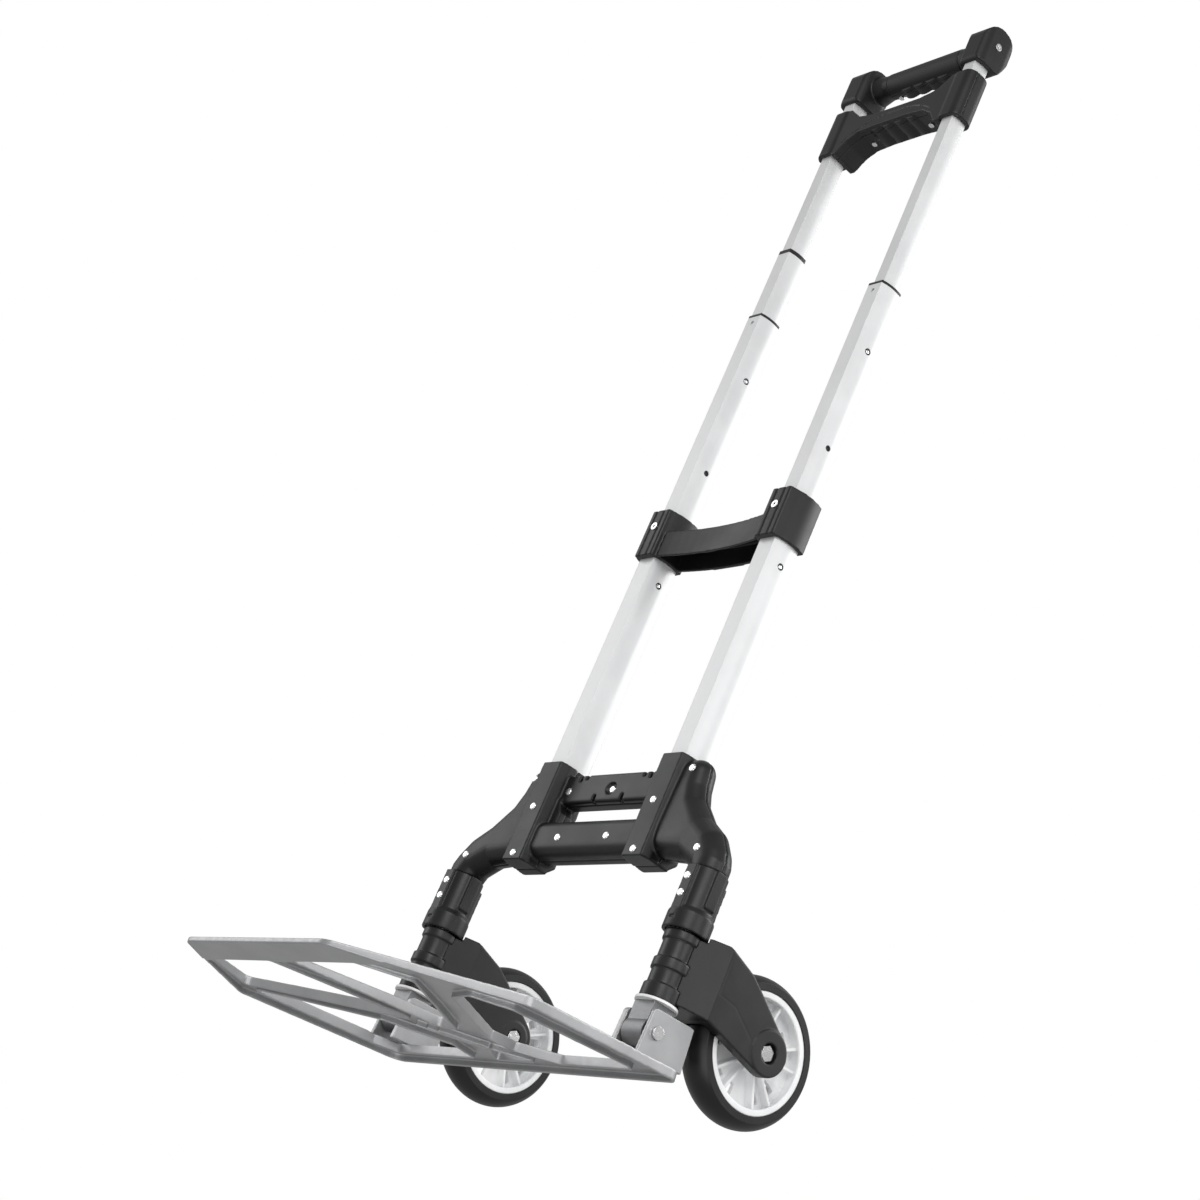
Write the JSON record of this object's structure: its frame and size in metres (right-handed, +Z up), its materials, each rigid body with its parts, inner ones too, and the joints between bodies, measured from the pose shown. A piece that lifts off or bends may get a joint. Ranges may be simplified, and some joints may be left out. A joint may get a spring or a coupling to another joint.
{
  "type": "folding hand truck",
  "caption": "Folding two-wheeled hand truck with a telescoping tube frame, a fold-up toe plate, wheels that swing in and a squeeze release under the grip.",
  "frame": {"origin": "centre of the footprint, on the floor under the toe plate and wheels", "axes": "X is the width along the wheel axles, -Y is the side the toe plate points to, +Z is up; the tubes lean back 5 degrees from +Z towards +Y"},
  "size_m": [0.3714, 0.3921, 1.0136],
  "materials": {
    "tyre": "satin rubber",
    "rim_white": "gloss",
    "plate_aluminium": "satin",
    "tube_aluminium": "bright anodised",
    "bright_steel": "bright",
    "grey_steel": "satin",
    "washer_white": "satin",
    "black_plastic": "satin"
  },
  "bodies": {
    "frame": {"yoke_front_shell": "black_plastic", "yoke_back_shell": "black_plastic", "yoke_rivets": "bright_steel", "left_leg_socket": "black_plastic", "right_leg_socket": "black_plastic", "leg_rivets": "bright_steel", "left_leg_post": "grey_steel", "right_leg_post": "grey_steel", "foot_washers": "washer_white", "left_foot_tang": "grey_steel", "right_foot_tang": "grey_steel", "pivot_rivets": "bright_steel", "left_lower_tube": "tube_aluminium", "right_lower_tube": "tube_aluminium", "middle_bracket": "black_plastic", "middle_rivets": "bright_steel", "lower_lock_pins": "grey_steel"},
    "toe_plate": {"toe_plate": "plate_aluminium", "left_outer_ear": "plate_aluminium", "right_outer_ear": "plate_aluminium", "left_inner_ear": "plate_aluminium", "right_inner_ear": "plate_aluminium"},
    "left_fork": {"left_fork_shroud": "black_plastic", "left_fork_sleeve": "black_plastic", "left_axle_bolt": "bright_steel", "left_axle_nut": "bright_steel"},
    "left_wheel": {"left_tyre": "tyre", "left_rim": "rim_white", "left_hub_bush": "grey_steel"},
    "left_second_stage": {"left_second_tube": "tube_aluminium", "left_second_collar": "black_plastic", "left_second_pins": "grey_steel"},
    "left_third_stage": {"left_third_tube": "tube_aluminium", "left_third_collar": "black_plastic"},
    "right_fork": {"right_fork_shroud": "black_plastic", "right_fork_sleeve": "black_plastic", "right_axle_bolt": "bright_steel", "right_axle_nut": "bright_steel"},
    "right_wheel": {"right_tyre": "tyre", "right_rim": "rim_white", "right_hub_bush": "grey_steel"},
    "right_second_stage": {"right_second_tube": "tube_aluminium", "right_second_collar": "black_plastic", "right_second_pins": "grey_steel"},
    "right_third_stage": {"right_third_tube": "tube_aluminium", "right_third_collar": "black_plastic"},
    "handle": {"left_top_tube": "tube_aluminium", "right_top_tube": "tube_aluminium", "left_end_cap": "black_plastic", "right_end_cap": "black_plastic", "cap_rivets": "bright_steel", "grip_front_shell": "black_plastic", "grip_back_shell": "black_plastic", "grip_screws": "bright_steel"},
    "release_bar": {"release_front_shell": "black_plastic", "release_back_shell": "black_plastic", "release_screws": "bright_steel", "release_rods": "grey_steel"}
  },
  "joints": [
    {"name": "plate_fold", "type": "hinge", "parent": "frame", "child": "toe_plate", "pos_m": [0, 0.04122, 0.03339], "axis": [-1, 0, 0], "range_deg": [0, 90]},
    {"name": "left_fork_swing", "type": "hinge", "parent": "frame", "child": "left_fork", "pos_m": [-0.151, 0.04628, 0.06477], "axis": [0, 0.0872, 0.9962], "range_deg": [-90, 0]},
    {"name": "right_fork_swing", "type": "hinge", "parent": "frame", "child": "right_fork", "pos_m": [0.151, 0.04628, 0.06477], "axis": [0, 0.0872, 0.9962], "range_deg": [0, 90]},
    {"name": "left_wheel_spin", "type": "hinge", "parent": "left_fork", "child": "left_wheel", "pos_m": [-0.151, 0.13895, 0.057], "axis": [1, 0, 0], "continuous": true},
    {"name": "right_wheel_spin", "type": "hinge", "parent": "right_fork", "child": "right_wheel", "pos_m": [0.151, 0.13895, 0.057], "axis": [1, 0, 0], "continuous": true},
    {"name": "handle_slide", "type": "slide", "parent": "frame", "child": "handle", "axis": [0, 0.0872, 0.9962], "range_m": [-0.38533, 0]},
    {"name": "left_second_slide", "type": "slide", "parent": "frame", "child": "left_second_stage", "axis": [0, 0.0872, 0.9962], "range_m": [-0.21089, 0]},
    {"name": "right_second_slide", "type": "slide", "parent": "frame", "child": "right_second_stage", "axis": [0, 0.0872, 0.9962], "range_m": [-0.21089, 0]},
    {"name": "left_third_slide", "type": "slide", "parent": "frame", "child": "left_third_stage", "axis": [0, 0.0872, 0.9962], "range_m": [-0.27991, 0]},
    {"name": "right_third_slide", "type": "slide", "parent": "frame", "child": "right_third_stage", "axis": [0, 0.0872, 0.9962], "range_m": [-0.21089, 0]},
    {"name": "release_slide", "type": "slide", "parent": "handle", "child": "release_bar", "axis": [0, 0.0872, 0.9962], "range_m": [0, 0.01], "stiffness_N_per_m": 600, "springref_m": -0.012}
  ],
  "couplings": [
    {"joint": "left_fork_swing", "follows": "plate_fold", "ratio": -1},
    {"joint": "right_fork_swing", "follows": "plate_fold", "ratio": 1},
    {"joint": "left_second_slide", "follows": "handle_slide", "ratio": 0.5473},
    {"joint": "right_second_slide", "follows": "handle_slide", "ratio": 0.5473},
    {"joint": "left_third_slide", "follows": "handle_slide", "ratio": 0.72641},
    {"joint": "right_third_slide", "follows": "handle_slide", "ratio": 0.5473}
  ]
}
